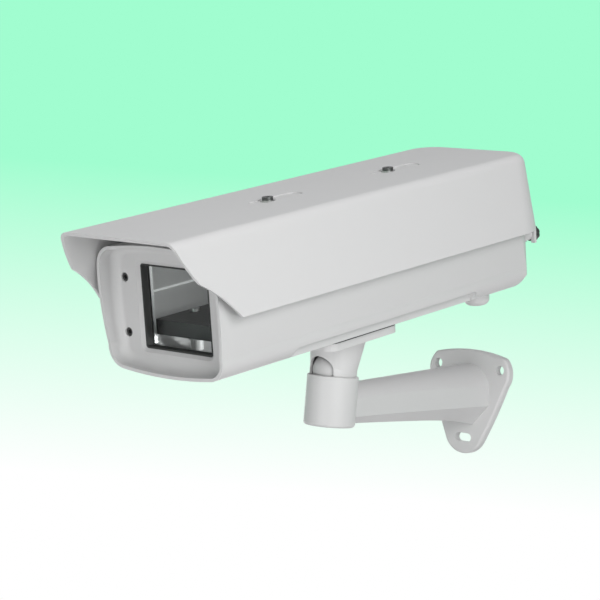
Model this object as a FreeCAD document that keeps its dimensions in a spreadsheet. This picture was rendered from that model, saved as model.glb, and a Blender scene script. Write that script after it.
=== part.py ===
import FreeCAD
import Part
import math
import os
from FreeCAD import Placement, Rotation, Vector

# Outdoor camera housing under a sunshield, on a wall bracket with a ball head.
# Row frame: +Z up, origin on the wall midway between the two upper fixing holes,
# the wall is the XZ plane, and the bracket reaches out along -Y.
# The housing is drawn in its own frame, x across, y from the visor's lip to the rear
# and z up from the roof, and is placed by the pan and tilt of the ball head.

DIMENSIONS = {
    # sunshield
    "shield_length": 440.0,
    "roof_inset": 4.5,
    "foot_flare": 13.3,
    "shield_drop": 63.1,
    "shield_wall": 2.6,
    "roof_edge_radius": 9.0,
    "roof_corner_radius": 25.0,
    "foot_corner_radius": 40.0,
    "visor_bend_setback": 17.3,
    "visor_bend_drop": 33.0,
    "visor_foot_setback": 51.2,
    "visor_bow": 1.6,
    "dimple_length": 56.0,
    "dimple_width": 15.0,
    "dimple_depth": 1.0,
    "dimple_offset": 9.5,
    "shield_screw_front": 168.0,
    "shield_screw_pitch": 148.0,
    "shield_screw_diameter": 5.0,
    "shield_screw_head": 9.0,
    "shield_screw_head_height": 2.4,
    "shield_washer_diameter": 12.0,
    "shield_washer_thickness": 1.2,
    "shield_post_diameter": 12.0,
    # die-cast shell of the housing
    "shell_front": 38.5,
    "shell_rear": 434.0,
    "shell_half_width": 64.2,
    "shell_top": 14.0,
    "shell_shoulder": 17.2,
    "shoulder_bow": 5.6,
    "shoulder_bow_drop": 4.7,
    "side_top_inset": 0.9,
    "toe_bow": 3.6,
    "toe_bow_rise": 5.4,
    "shell_side_top": 34.0,
    "shell_side_foot": 96.0,
    "shell_foot_half_width": 60.8,
    "shell_base": 114.4,
    "shell_belly": 117.3,
    "base_flat": 115.5,
    "base_half_width": 47.0,
    "base_front": 86.0,
    "shell_wall": 3.0,
    "shell_corner_radius": 28.0,
    "rake_top": 72.0,
    "rake_foot": 106.0,
    "rake_run": 16.0,
    "rake_toe": 30.0,
    "seam_drop": 65.5,
    "cover_front": 74.0,
    "seal_thickness": 1.2,
    "seal_gap": 0.3,
    "rebate_front": 126.0,
    "rebate_rear": 352.0,
    "rebate_drop": 104.5,
    "rebate_half_width": 51.0,
    "rebate_radius": 3.0,
    # recessed face and window
    "rim_wall": 2.6,
    "chin_setback": 4.5,
    "chin_drop": 40.0,
    "face_depth": 17.5,
    "face_thickness": 8.0,
    "cove_radius": 7.0,
    "window_width": 77.2,
    "window_height": 72.0,
    "window_centre_drop": 66.7,
    "window_radius": 5.0,
    "window_chamfer": 2.5,
    "glass_thickness": 3.0,
    "glass_overlap": 4.0,
    "gasket_wall": 1.5,
    "gasket_lip": 1.0,
    "clamp_thickness": 3.0,
    "bezel_screw_half_pitch": 51.5,
    "bezel_screw_upper_drop": 45.0,
    "bezel_screw_lower_drop": 88.5,
    "bezel_head_diameter": 6.8,
    "bezel_head_height": 3.5,
    "bezel_screw_diameter": 4.0,
    "bezel_boss_radius": 5.0,
    # cover hinge on the far side
    "hinge_offset": 5.3,
    "hinge_drop": 61.0,
    "knuckle_radius": 3.2,
    "hinge_pin_diameter": 3.0,
    "knuckle_length": 9.0,
    "knuckle_gap": 0.3,
    "hinge_gap": 0.5,
    "hinge_front": 120.0,
    "hinge_pitch": 210.0,
    "running_clearance": 0.05,
    # closing knob at the rear
    "knob_inset": 10.2,
    "knob_drop": 71.0,
    "knob_diameter": 14.0,
    "knob_thickness": 6.4,
    "knob_stud_diameter": 5.0,
    "knob_stud_depth": 11.0,
    "knob_boss_radius": 5.0,
    "knob_boss_length": 18.0,
    "catch_setback": 1.8,
    "catch_width": 14.0,
    "catch_height": 12.0,
    "catch_thickness": 3.0,
    "catch_slot": 7.0,
    "catch_gap": 0.5,
    # camera tray
    "tray_width": 88.0,
    "tray_front": 76.0,
    "tray_length": 300.0,
    "tray_drop": 81.5,
    "tray_flange": 12.0,
    "tray_sheet": 2.0,
    "post_half_pitch": 34.0,
    "post_front": 112.0,
    "post_pitch": 224.0,
    "post_radius": 5.0,
    "tray_screw_diameter": 4.0,
    "tray_screw_head": 8.0,
    "tray_screw_head_height": 2.2,
    "tray_screw_grip": 8.0,
    "track_width": 7.0,
    "track_length": 190.0,
    "slide_width": 40.0,
    "slide_length": 64.0,
    "slide_thickness": 5.0,
    "slide_front": 170.0,
    "slide_gap": 0.3,
    "slide_key_width": 6.4,
    "slide_key_setback": 8.0,
    "camera_screw_setback": 19.0,
    "camera_screw_diameter": 6.35,
    "camera_screw_length": 6.0,
    "camera_screw_neck": 5.0,
    "camera_screw_head": 11.0,
    "camera_screw_head_height": 3.0,
    "thumb_screw_setback": 48.0,
    "thumb_knob_diameter": 12.0,
    "thumb_knob_height": 7.0,
    # cable entries
    "plug_diameter": 22.0,
    "plug_pitch": 30.0,
    "plug_position": 388.0,
    "plug_height": 9.0,
    "plug_seal_thickness": 1.5,
    "plug_thread_diameter": 15.0,
    "plug_nut_width": 20.0,
    "plug_nut_thickness": 4.0,
    "grommet_bore": 9.0,
    "grommet_groove": 16.0,
    "grommet_lip": 20.0,
    "grommet_lip_thickness": 1.6,
    # head casting
    "pad_thickness": 1.5,
    "head_plate_width": 86.0,
    "head_plate_length": 86.0,
    "head_plate_front": 184.0,
    "head_plate_thickness": 6.0,
    "head_plate_radius": 10.0,
    "pivot_setback": 232.9,
    "pivot_drop": 153.2,
    "hood_radius": 19.6,
    "hood_wall": 2.2,
    "hood_neck_radius": 19.3,
    "hood_neck_rise": -2.0,
    "hood_top_half_width": 23.5,
    "hood_top_half_length": 25.5,
    "hood_top_offset": 11.0,
    "hood_skirt": 7.0,
    "arch_radius": 12.9,
    "arch_rise": 2.9,
    "base_screw_diameter": 6.0,
    "base_screw_head": 10.0,
    "base_screw_half_pitch": 28.0,
    "base_screw_front": 196.0,
    "base_screw_pitch": 62.0,
    "base_washer_diameter": 12.0,
    "base_washer_thickness": 1.6,
    # wall bracket and ball
    "wall_to_pivot": 203.8,
    "pivot_height": -1.5,
    "pan_angle": -3.5,
    "tilt_angle": 12.31,
    "collar_radius": 21.3,
    "collar_drop": 3.5,
    "collar_height": 41.8,
    "collar_round": 1.2,
    "collar_foot_round": 2.5,
    "cup_clearance": 0.35,
    "cup_floor_drop": 19.8,
    "cup_floor": 7.0,
    "pocket_radius": 17.0,
    "ball_clearance": 0.3,
    "shank_diameter": 18.0,
    "shank_flange": 23.0,
    "shank_flange_thickness": 2.0,
    "shank_length": 40.0,
    "cable_bore": 11.0,
    "trunnion_diameter": 6.0,
    "trunnion_inner": 9.5,
    "trunnion_outer": 19.0,
    "swivel_washer_diameter": 28.0,
    "swivel_washer_thickness": 2.0,
    "swivel_nut_width": 26.0,
    "swivel_nut_thickness": 8.0,
    "swivel_gap": 0.1,
    "plate_thickness": 7.0,
    "plate_half_width": 42.0,
    "plate_brow_inset": 6.0,
    "plate_brow_drop": 4.7,
    "plate_cheek_inset": 2.2,
    "plate_cheek_drop": 14.0,
    "plate_jaw_margin": 2.3,
    "plate_jaw_drop": 64.2,
    "plate_jaw_bulge": 0.8,
    "plate_jaw_sag": 0.3,
    "plate_top": 15.3,
    "plate_bottom": 77.0,
    "plate_edge_radius": 2.5,
    "fixing_half_pitch": 32.9,
    "fixing_diameter": 8.5,
    "slot_drop": 62.7,
    "slot_width": 7.6,
    "slot_length": 17.0,
    "arm_wall": 4.0,
    "arm_neck_half_width": 14.5,
    "arm_root_half_width": 24.6,
    "arm_neck_top": -13.5,
    "arm_root_top": 3.4,
    "arm_neck_crease": -38.8,
    "arm_root_crease": -32.2,
    "arm_neck_bottom": -44.6,
    "arm_root_bottom": -51.7,
    "arm_sole_half_width": 9.0,
}

BEYOND = 200.0
THREAD_PLAY = 0.05
HOLE_PLAY = 0.3
CLOSE_PLAY = 0.1
LONG_REACH = 20.0
PAD_REACH = 30.0
SOCKET_DEPTH = 0.55
ARM_SHOULDER = 0.97
ARM_SHOULDER_DROP = 0.75
FLUTE_REACH = 0.53
OVERSHOOT = 5.0
UP = Vector(0, 0, 1)
DOWN = Vector(0, 0, -1)
BACK = Vector(0, 1, 0)
FORWARD = Vector(0, -1, 0)
ACROSS = Vector(1, 0, 0)

document = FreeCAD.newDocument("CameraHousing")
sheet = document.addObject("Spreadsheet::Sheet", "Sizes")
for row, (alias, value) in enumerate(DIMENSIONS.items(), start=1):
    sheet.set(f"A{row}", alias)
    sheet.set(f"B{row}", str(value))
    sheet.setAlias(f"B{row}", alias)
document.recompute()


def size(alias):
    """A driving dimension, read from the sheet."""
    return float(sheet.get(alias))


def worth(expression):
    """The number that an expression of the sheet's cells comes to."""
    return float(sheet.evalExpression(expression))


def loose(alias):
    """A hole that a screw passes with room."""
    return f"Sizes.{alias} + {2 * HOLE_PLAY}"


def close(alias):
    """A hole that guides what passes it."""
    return f"Sizes.{alias} + {2 * CLOSE_PLAY}"


def snug(alias):
    """A bore that sits on its shank."""
    return f"Sizes.{alias} + {CLOSE_PLAY}"


# Parametric primitives, each bound to cells of the sheet

def bind(thing, **expressions):
    for name, expression in expressions.items():
        thing.setExpression(name, expression)
    return thing


def set_at(thing, x, y, z):
    for axis, expression in (("x", x), ("y", y), ("z", z)):
        thing.setExpression(f".Placement.Base.{axis}", expression)
    return thing


def cylinder(name, diameter, height, x="0", y="0", z="0", along=UP):
    """Round bar from its start point along a direction."""
    solid = document.addObject("Part::Cylinder", name)
    solid.Placement = Placement(Vector(), Rotation(UP, along))
    bind(solid, Radius=f"({diameter}) / 2", Height=height)
    return set_at(solid, x, y, z)


def hexagon(name, across_flats, height, x="0", y="0", z="0", along=UP):
    solid = document.addObject("Part::Prism", name)
    solid.Polygon = 6
    solid.Placement = Placement(Vector(), Rotation(UP, along))
    bind(solid, Circumradius=f"({across_flats}) / sqrt(3)", Height=height)
    return set_at(solid, x, y, z)


def box(name, width, length, height, x, y, z):
    """Box centred on x, from y rearward and from z upward."""
    solid = bind(document.addObject("Part::Box", name), Length=width, Width=length, Height=height)
    return set_at(solid, f"({x}) - ({width}) / 2", y, z)


def fuse(name, shapes):
    result = document.addObject("Part::MultiFuse", name)
    result.Shapes = shapes
    return result


def cut(name, base, tools):
    result = document.addObject("Part::Cut", name)
    result.Base = base
    result.Tool = tools[0] if len(tools) == 1 else fuse(f"{name}Tools", tools)
    return result


def group(name, solids):
    """Like pieces kept as separate solids of one node."""
    result = document.addObject("Part::Compound", name)
    result.Links = solids
    return result


def rounded(name, base, radius, wanted):
    """Fillet of the edges that a test picks."""
    document.recompute()
    result = document.addObject("Part::Fillet", name)
    result.Base = base
    numbers = [i for i, edge in enumerate(base.Shape.Edges, start=1) if wanted(edge)]
    result.Edges = [(i, worth(radius), worth(radius)) for i in numbers]
    return result


def runs_up(edge):
    return abs(edge.tangentAt(edge.FirstParameter).z) > 0.9


def runs_back(edge):
    return abs(edge.tangentAt(edge.FirstParameter).y) > 0.9


def shaped(name, shape):
    """Casting or moulding whose form is worked out in code from the sheet."""
    feature = document.addObject("Part::Feature", name)
    feature.Shape = shape
    return feature


pieces = []


def finish(thing, label, pose=None):
    """Names the node and puts it in the row frame."""
    document.recompute()
    thing.Label = label
    if pose is not None:
        thing.Placement = pose.multiply(thing.Placement)
    pieces.append(thing)


# Shapes worked out with the geometry kernel

def loop(points):
    """Closed wire; an entry that is a pair (way point, end) is an arc."""
    edges = []
    start = points[0]
    for entry in points[1:] + [points[0]]:
        if isinstance(entry, tuple):
            edges.append(Part.Arc(start, entry[0], entry[1]).toShape())
            start = entry[1]
        elif start.distanceToPoint(entry) > 1e-6:
            edges.append(Part.LineSegment(start, entry).toShape())
            start = entry
    return Part.Wire(edges)


def rod(radius, length, base, direction=UP):
    return Part.makeCylinder(radius, length, base, direction)


def block(x_from, x_to, y_from, y_to, z_from, z_to):
    return Part.makeBox(x_to - x_from, y_to - y_from, z_to - z_from, Vector(x_from, y_from, z_from))


def oval(length, width, depth, centre, direction, along):
    """Solid with round ends: length over all one way, width across, extruded by depth."""
    radius = width / 2
    reach = along * (length / 2 - radius)
    across = direction.cross(along).normalize() * radius
    outline = loop([
        centre + reach - across,
        (centre + reach + along * radius, centre + reach + across),
        centre - reach + across,
        (centre - reach - along * radius, centre - reach - across),
    ])
    return Part.Face(outline).extrude(direction * depth)


# Poses: the ball stands on the bracket, the housing is panned and nosed down on it
pivot = Vector(0, -size("wall_to_pivot"), size("pivot_height"))
pan = Rotation(UP, size("pan_angle"))
attitude = pan * Rotation(ACROSS, size("tilt_angle"))
pivot_in_housing = Vector(0, size("pivot_setback"), -size("pivot_drop"))
housing_pose = Placement(pivot - attitude.multVec(pivot_in_housing), attitude)
swivel_pose = Placement(pivot, pan)

# Levels that several pieces share, in the housing's frame
face_plane = "Sizes.shell_front + Sizes.face_depth"
face_back = f"{face_plane} + Sizes.face_thickness"
glass_front = f"{face_back} + Sizes.gasket_lip"
glass_back = f"{glass_front} + Sizes.glass_thickness"
window_z = "-Sizes.window_centre_drop"
base_plane = "-Sizes.base_flat"
floor_top = f"{base_plane} + Sizes.shell_wall"
tray_top = "-Sizes.tray_drop"
tray_under = f"{tray_top} - Sizes.tray_sheet"
pad_bottom = f"{base_plane} - Sizes.pad_thickness"
plate_bottom = f"{pad_bottom} - Sizes.head_plate_thickness"
catch_front = "Sizes.shell_rear - Sizes.catch_setback"
catch_back = f"{catch_front} + Sizes.catch_thickness"
slide_base = f"{tray_top} + Sizes.slide_gap"
shell_roof = "-Sizes.shell_top"
seam = "-Sizes.seam_drop"
cover_foot = f"{seam} + Sizes.seal_thickness + Sizes.seal_gap"
cover_edge = "Sizes.cover_front + Sizes.seal_thickness + Sizes.seal_gap"

# Places where pieces repeat, as expressions
both = ("", "-")
shield_rows = ("Sizes.shield_screw_front", "Sizes.shield_screw_front + Sizes.shield_screw_pitch")
roof_width = "2 * (Sizes.shell_half_width - Sizes.roof_inset)"
foot_width = "2 * (Sizes.shell_half_width + Sizes.foot_flare)"
hinge_side = "Sizes.shell_half_width + Sizes.hinge_offset"
knob_side = "Sizes.shell_half_width - Sizes.knob_inset"
hinge_rows = ("Sizes.hinge_front", "Sizes.hinge_front + Sizes.hinge_pitch")
bezel_spots = [(sign + "Sizes.bezel_screw_half_pitch", "-" + drop) for sign in both
               for drop in ("Sizes.bezel_screw_upper_drop", "Sizes.bezel_screw_lower_drop")]
base_spots = [(sign + "Sizes.base_screw_half_pitch", row) for sign in both
              for row in ("Sizes.base_screw_front", "Sizes.base_screw_front + Sizes.base_screw_pitch")]
post_spots = [(sign + "Sizes.post_half_pitch", row) for sign in both
              for row in ("Sizes.post_front", "Sizes.post_front + Sizes.post_pitch")]
plug_spots = [f"{sign}Sizes.plug_pitch" for sign in both] + ["0"]


def spots(pairs):
    return [(worth(first), worth(second)) for first, second in pairs]


# Outer form of the die-cast shell

def shell_section(y):
    """Cross-section: arched top and belly, bowed sides and round corners."""
    half = size("shell_half_width")
    foot = size("shell_foot_half_width")
    base = size("base_half_width")
    shoulder = Vector(base - 1, y, -size("shell_shoulder"))
    shoulder_way = Vector(half - size("shoulder_bow"), y,
                          -(size("shell_shoulder") + size("shoulder_bow_drop")))
    side_top = Vector(half - size("side_top_inset"), y, -size("shell_side_top"))
    side_way = Vector(half, y, -(size("shell_side_top") + size("shell_side_foot")) / 2 + 7)
    side_foot = Vector(foot, y, -size("shell_side_foot"))
    toe_way = Vector(foot - size("toe_bow"), y, -(size("shell_base") - size("toe_bow_rise")))
    toe = Vector(base, y, -size("shell_base"))

    def other(point):
        return Vector(-point.x, point.y, point.z)

    return loop([
        shoulder,
        (shoulder_way, side_top),
        (side_way, side_foot),
        (toe_way, toe),
        (Vector(0, y, -size("shell_belly")), other(toe)),
        (other(toe_way), other(side_foot)),
        (other(side_way), other(side_top)),
        (other(shoulder_way), other(shoulder)),
        (Vector(0, y, -size("shell_top")), shoulder),
    ])


def shell_side(inset):
    """Side view: a tail that rakes forward and rounds into the belly."""
    rear = size("shell_rear") - inset
    ankle = Vector(-BEYOND, rear - size("rake_run"), -size("rake_foot") + inset)
    toe = Vector(-BEYOND, rear - size("rake_toe"), -size("shell_belly") + inset - 1)
    heel = Vector(-BEYOND, rear, -size("rake_top"))
    heel_way = (heel + ankle) / 2 + Vector(0, 3.4, -1.6)
    ankle_way = (ankle + toe) / 2 + Vector(0, 1.4, -1.9)
    return loop([
        Vector(-BEYOND, 0, BEYOND),
        Vector(-BEYOND, rear, BEYOND),
        heel,
        (heel_way, ankle),
        (ankle_way, toe),
        Vector(-BEYOND, toe.y, -2 * BEYOND),
        Vector(-BEYOND, 0, -2 * BEYOND),
    ])


def plan_outline(half, rear, radius, z, front):
    """Plan view with two round rear corners."""
    bow = radius * (1 - math.sqrt(0.5))
    return loop([
        Vector(-half, front, z),
        Vector(-half, rear - radius, z),
        (Vector(-half + bow, rear - bow, z), Vector(-half + radius, rear, z)),
        Vector(half - radius, rear, z),
        (Vector(half - bow, rear - bow, z), Vector(half, rear - radius, z)),
        Vector(half, front, z),
    ])


def shell_envelope(front, inset):
    """Solid within the shell's skin, or within its inner face where inset is the wall."""
    rear = size("shell_rear") - inset
    section = Part.Face(shell_section(front))
    if inset:
        section = section.makeOffset2D(-inset)
    side = Part.Face(shell_side(inset)).extrude(ACROSS * 2 * BEYOND)
    plan = plan_outline(size("shell_half_width") - inset, rear, size("shell_corner_radius") - inset,
                        -BEYOND, 0)
    return section.extrude(BACK * (rear - front)).common(side).common(Part.Face(plan).extrude(UP * 2 * BEYOND))


def rebate_steps(grow):
    """Step along each lower side that leaves the mounting base standing proud."""
    steps = []
    half = size("rebate_half_width") - grow
    front = size("rebate_front") - grow
    length = size("rebate_rear") + grow - front
    top = -size("rebate_drop") + grow
    for start in (half, -half - BEYOND):
        step = Part.makeBox(BEYOND, length, BEYOND, Vector(start, front, top - BEYOND))
        upper = [e for e in step.Edges
                 if abs(e.tangentAt(e.FirstParameter).x) > 0.9 and e.CenterOfMass.z > top - 1]
        steps.append(step.makeFillet(size("rebate_radius"), upper))
    return steps


def shell_cavity():
    """Hollow inside tray and cover, with a level floor."""
    cavity = shell_envelope(worth(face_back), size("shell_wall"))
    cavity = cavity.common(block(-BEYOND, BEYOND, 0, BEYOND * 3, worth(floor_top), BEYOND))
    for step in rebate_steps(size("shell_wall")):
        cavity = cavity.cut(step)
    return cavity


def window_block(grow, y_from, y_to):
    """Solid of the window's outline, grown by a margin, between two depths."""
    half_x = size("window_width") / 2 + grow
    half_z = size("window_height") / 2 + grow
    middle = worth(window_z)
    solid = block(-half_x, half_x, y_from, y_to, middle - half_z, middle + half_z)
    return solid.makeFillet(size("window_radius") + grow, [e for e in solid.Edges if runs_back(e)])


def front_wire(solid):
    return min(solid.Faces, key=lambda face: face.CenterOfMass.y).OuterWire


def knuckle(row, above):
    """Barrel on the hinge axis with the web that carries it, clear of the swinging sunshield."""
    length = size("knuckle_length")
    radius = size("knuckle_radius")
    x = -worth(hinge_side)
    z = -size("hinge_drop")
    inner = -(size("shell_half_width") - size("shell_wall") / 2)
    barrel = rod(radius, length, Vector(x, row, z), BACK)
    if above:
        return barrel.fuse(block(x, inner, row, row + length, z, z + radius))
    foot = worth(seam) - 2 * radius
    clear = -(size("shell_half_width") + size("hinge_gap"))
    bridge = block(x, clear, row, row + length, z - radius, z)
    web = block(x + radius, clear, row, row + length, foot, z)
    root = block(x + radius, inner, row, row + length, foot, worth(seam) - radius / 2)
    return barrel.fuse(bridge).fuse(web).fuse(root)


def knuckle_starts(row, above):
    step = size("knuckle_length") + size("knuckle_gap")
    return [row + step] if above else [row, row + 2 * step]


def hinge_bore(row, radius):
    length = 3 * size("knuckle_length") + 2 * size("knuckle_gap") + 2
    return rod(radius, length, Vector(-worth(hinge_side), row - 1, -size("hinge_drop")), BACK)


# Castings of the housing

def housing_tray():
    cavity = shell_cavity()
    shell = shell_envelope(size("shell_front"), 0)
    upper = block(-BEYOND, BEYOND, size("cover_front"), 3 * BEYOND, worth(seam), BEYOND)
    tray = shell.cut(cavity).cut(upper)
    under = block(-BEYOND, BEYOND, size("base_front"), size("shell_rear") - size("rake_toe"),
                  -BEYOND, worth(base_plane))
    tray = tray.cut(under)
    for step in rebate_steps(0):
        tray = tray.cut(step)
    # face behind the raised rim, with a cove where the two meet
    recess = Part.Face(shell_section(size("shell_front"))).makeOffset2D(-size("rim_wall"))
    recess = recess.extrude(BACK * size("face_depth"))
    deep = [e for e in recess.Edges if e.BoundBox.YMin > worth(face_plane) - 0.01]
    tray = tray.cut(recess.makeFillet(size("cove_radius"), deep))
    # front edge that draws back towards the chin
    brow = Vector(-BEYOND, size("shell_front"), -size("chin_drop"))
    chin = Vector(-BEYOND, size("shell_front") + size("chin_setback"), -size("shell_belly"))
    profile = loop([
        brow,
        chin,
        chin + DOWN * OVERSHOOT,
        Vector(-BEYOND, 0, chin.z - OVERSHOOT),
        Vector(-BEYOND, 0, brow.z),
    ])
    tray = tray.cut(Part.Face(profile).extrude(ACROSS * 2 * BEYOND))
    # window opening with a bevelled edge
    chamfer = size("window_chamfer")
    mouth = front_wire(window_block(0, worth(face_plane), worth(face_back)))
    throat = front_wire(window_block(-chamfer, worth(face_plane) + chamfer, worth(face_back)))
    tray = tray.cut(Part.makeLoft([mouth, throat], True, True))
    tray = tray.cut(window_block(-chamfer, worth(face_plane) + chamfer / 2, worth(face_back) + 1))
    # bosses behind the face for the window screws
    for x, z in spots(bezel_spots):
        seat = worth(face_back) - 1
        tray = tray.fuse(rod(size("bezel_boss_radius"), worth(glass_back) - seat, Vector(x, seat, z), BACK))
        sink = rod(size("bezel_head_diameter") / 2 + HOLE_PLAY, size("bezel_head_height") + OVERSHOOT + 1,
                   Vector(x, worth(face_plane) - OVERSHOOT, z), BACK)
        way = rod(size("bezel_screw_diameter") / 2 + HOLE_PLAY, BEYOND, Vector(x, worth(face_plane), z), BACK)
        tray = tray.cut(sink).cut(way.common(block(-BEYOND, BEYOND, 0, worth(glass_back) + 1, -BEYOND, 0)))
    # posts under the camera tray, tapped for its screws
    for x, y in spots(post_spots):
        foot = worth(floor_top) - 1
        tray = tray.fuse(rod(size("post_radius"), worth(tray_under) - foot, Vector(x, y, foot)))
        depth = size("tray_screw_grip") + 2
        tray = tray.cut(rod(size("tray_screw_diameter") / 2 + THREAD_PLAY, depth + OVERSHOOT,
                            Vector(x, y, worth(tray_under) - depth)))
    # holes in the floor: base screws, cable entries and the cable from the bracket
    below = worth(base_plane) - OVERSHOOT
    through = size("shell_wall") + 2 * OVERSHOOT
    for x, y in spots(base_spots):
        tray = tray.cut(rod(size("base_screw_diameter") / 2 + HOLE_PLAY, through, Vector(x, y, below)))
    nut_face = size("plug_nut_width") / math.sqrt(3) + HOLE_PLAY
    for spot in plug_spots:
        entry = Vector(worth(spot), size("plug_position"), below)
        tray = tray.cut(rod(size("plug_thread_diameter") / 2 + THREAD_PLAY, through, entry))
        tray = tray.cut(rod(nut_face, size("plug_nut_thickness"),
                            Vector(entry.x, entry.y, worth(floor_top))))
    tray = tray.cut(rod(size("grommet_groove") / 2, through, Vector(0, size("pivot_setback"), below)))
    # boss at the rear corner for the closing knob's stud
    boss_end = worth(catch_front) - size("seal_gap")
    axis = Vector(worth(knob_side), boss_end, -size("knob_drop"))
    tray = tray.fuse(rod(size("knob_boss_radius"), size("knob_boss_length"), axis, FORWARD))
    stud_radius = size("knob_stud_diameter") / 2 + THREAD_PLAY
    tray = tray.cut(rod(stud_radius, size("knob_stud_depth") + 1, axis, FORWARD))
    for row in map(worth, hinge_rows):
        for start in knuckle_starts(row, False):
            tray = tray.fuse(knuckle(start, False))
        tray = tray.cut(hinge_bore(row, size("hinge_pin_diameter") / 2))
    return tray


def shield_skin():
    """Thickness of the sunshield's leaning wall, measured level."""
    splay = (worth(foot_width) - worth(roof_width)) / 2 / size("shield_drop")
    return size("shield_wall") * math.hypot(1, splay)


def shield_loft(inset, top):
    """Plain form of the sunshield from a level down to its foot, taken in by an inset."""
    drop = size("shield_drop")

    def outline(share, z):
        half = worth(roof_width) / 2 + (worth(foot_width) - worth(roof_width)) / 2 * share
        corner = size("roof_corner_radius")
        corner += (size("foot_corner_radius") - corner) * share
        return plan_outline(half - inset, size("shield_length") - inset, corner - inset, z, -1)

    return Part.makeLoft([outline(-top / drop, top), outline(1, -drop)], True, True)


def cover():
    cavity = shell_cavity()
    region = block(-BEYOND, BEYOND, worth(cover_edge), 3 * BEYOND, worth(cover_foot), BEYOND)
    lid = shell_envelope(size("shell_front"), 0).common(region).cut(cavity)
    # tapped bosses for the sunshield's posts
    grip = size("shell_top") - size("shell_wall")
    for row in map(worth, shield_rows):
        lid = lid.fuse(rod(size("shield_post_diameter") / 2, grip, Vector(0, row, worth(shell_roof)), DOWN))
        lid = lid.cut(rod(size("shield_screw_diameter") / 2 + THREAD_PLAY, grip - 1 + OVERSHOOT,
                          Vector(0, row, worth(shell_roof) + OVERSHOOT), DOWN))
    # catch over the tray's rear boss, open downward so that it lifts off the stud
    side = worth(knob_side)
    half = size("catch_width") / 2
    level = -size("knob_drop")
    top = worth(cover_foot) + size("catch_height") / 2
    catch = block(side - half, side + half, worth(catch_front), worth(catch_back), level - half, top)
    bridge = block(side - half, side + half, worth(catch_back) - 5 * size("catch_thickness"),
                   worth(catch_back), worth(cover_foot), top)
    hasp = catch.fuse(bridge.cut(cavity))
    gap = size("catch_gap")
    shield_foot = -size("shield_drop") - gap
    outside = block(-BEYOND, BEYOND, 0, 3 * BEYOND, shield_foot, 0).cut(shield_loft(shield_skin() + gap, 0))
    hasp = hasp.cut(outside)
    lid = lid.fuse(hasp)
    slot = size("catch_slot") / 2
    front = worth(catch_front) - 1
    back = worth(catch_back) + 1
    lid = lid.cut(rod(slot, back - front, Vector(side, front, level), BACK))
    lid = lid.cut(block(side - slot, side + slot, front, back, level - 2 * half, level))
    for row in map(worth, hinge_rows):
        for start in knuckle_starts(row, True):
            lid = lid.fuse(knuckle(start, True))
        lid = lid.cut(hinge_bore(row, size("hinge_pin_diameter") / 2 + size("running_clearance")))
    return lid


def cover_seal():
    """Rubber strip on the tray's rim, level along the sides and upright at the front."""
    thickness = size("seal_thickness")
    front = size("cover_front")
    band = block(-BEYOND, BEYOND, front, 3 * BEYOND, worth(seam), BEYOND)
    beyond_band = block(-BEYOND, BEYOND, front + thickness, 3 * BEYOND, worth(seam) + thickness, BEYOND)
    wall = shell_envelope(size("shell_front"), 0).cut(shell_cavity())
    return wall.common(band.cut(beyond_band))


def sunshield():
    """Splayed hood: lofted between roof and foot outlines, hollow, with a swept visor."""
    wall = size("shield_wall")
    drop = size("shield_drop")

    def round_roof(solid, radius):
        top = max(face.BoundBox.ZMax for face in solid.Faces)
        edges = [e for e in solid.Edges if e.BoundBox.ZMin > top - 0.01 and e.BoundBox.YMax > 1]
        return solid.makeFillet(radius, edges)

    outer = round_roof(shield_loft(0, 0), size("roof_edge_radius"))
    inner = round_roof(shield_loft(shield_skin(), -wall), size("roof_edge_radius") - wall)
    shield = outer.cut(inner)
    # visor: the sides sweep back from the lip to the foot
    bend = Vector(-BEYOND, size("visor_bend_setback"), -size("visor_bend_drop"))
    lip = Vector(-BEYOND, 0, 0)
    toe = Vector(-BEYOND, size("visor_foot_setback"), -drop)
    bow = size("visor_bow")
    sweep = loop([
        lip,
        ((lip + bend) / 2 + Vector(0, -bow, 0), bend),
        ((bend + toe) / 2 + Vector(0, bow, bow), toe),
        toe + Vector(0, 0, -OVERSHOOT),
        Vector(-BEYOND, -OVERSHOOT, -drop - OVERSHOOT),
        Vector(-BEYOND, -OVERSHOOT, OVERSHOOT),
        lip + Vector(0, 0, OVERSHOOT),
    ])
    shield = shield.cut(Part.Face(sweep).extrude(ACROSS * 2 * BEYOND))
    for row in map(worth, shield_rows):
        centre = Vector(0, row + size("dimple_offset"), -size("dimple_depth"))
        shield = shield.cut(oval(size("dimple_length"), size("dimple_width"), OVERSHOOT, centre, UP, BACK))
        shield = shield.cut(rod(size("shield_screw_diameter") / 2 + HOLE_PLAY, 2 * OVERSHOOT,
                                Vector(0, row, -wall - OVERSHOOT)))
    return shield


def window_gasket():
    """Rubber lining of the window with a lip behind the face that the glass beds on."""
    chamfer = size("window_chamfer")
    lining = window_block(-chamfer, worth(face_plane) + chamfer, worth(face_back))
    lip = window_block(size("glass_overlap"), worth(face_back), worth(glass_front))
    hole = window_block(-chamfer - size("gasket_wall"), worth(face_plane), worth(glass_front) + 1)
    return lining.fuse(lip).cut(hole)


def window_clamp():
    """Frame behind the glass with an ear for each window screw, clear of the shell's walls."""
    thickness = size("clamp_thickness")
    back = worth(glass_back)
    room = shell_envelope(worth(face_back), size("shell_wall") + HOLE_PLAY)
    frame = window_block(size("glass_overlap"), back, back + thickness)
    radius = size("bezel_boss_radius")
    for x, z in spots(bezel_spots):
        frame = frame.fuse(rod(radius, thickness, Vector(x, back, z), BACK))
        frame = frame.fuse(block(min(x, 0), max(x, 0), back, back + thickness, z - radius, z + radius))
    frame = frame.common(room).cut(window_block(-size("window_chamfer"), back - 1, back + thickness + 1))
    for x, z in spots(bezel_spots):
        frame = frame.cut(rod(size("bezel_screw_diameter") / 2 + THREAD_PLAY, thickness + 2,
                              Vector(x, back - 1, z), BACK))
    return frame


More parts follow.
